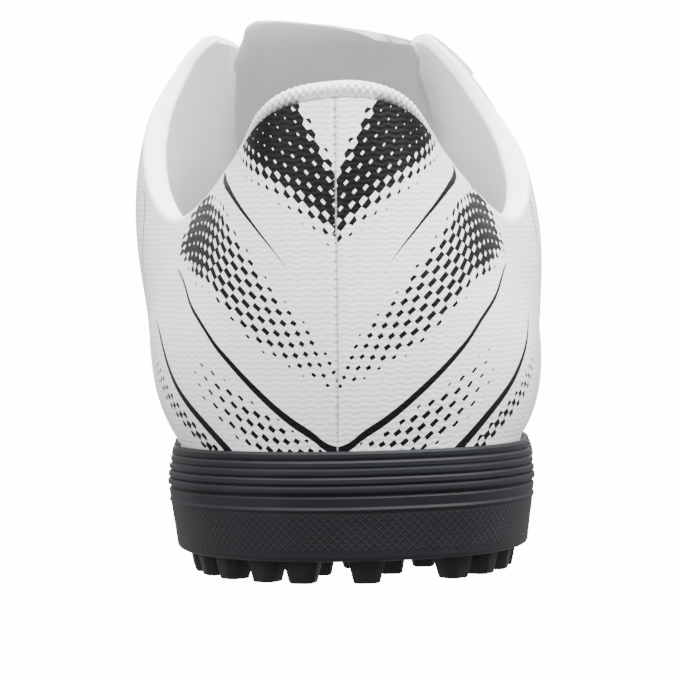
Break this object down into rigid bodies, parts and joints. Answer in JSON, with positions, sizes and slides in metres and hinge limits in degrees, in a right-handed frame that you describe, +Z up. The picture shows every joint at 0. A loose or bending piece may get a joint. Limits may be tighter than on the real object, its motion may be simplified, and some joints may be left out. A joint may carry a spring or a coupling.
{
  "type": "turf shoe",
  "caption": "Low-cut turf football shoe, right foot, white synthetic upper with padded collar, tongue and lace, on a black ribbed rubber cup sole with short lugs",
  "frame": {"origin": "on the ground under the middle of the shoe's box", "axes": "+Z up, +Y towards the toe, +X towards the outer (little toe) side"},
  "size_m": [0.0946, 0.286, 0.1146],
  "materials": {
    "black_rubber": "matt",
    "white_synthetic": "satin",
    "grey_foam_cloth": "matt",
    "grey_lining": "matt",
    "knitted_edge": "matt",
    "white_braid": "matt"
  },
  "bodies": {
    "root": {"outsole": "black_rubber", "upper": "white_synthetic", "insole": "grey_foam_cloth", "tongue": "grey_lining", "collar_binding": "knitted_edge", "laces": "white_braid"}
  },
  "joints": []
}
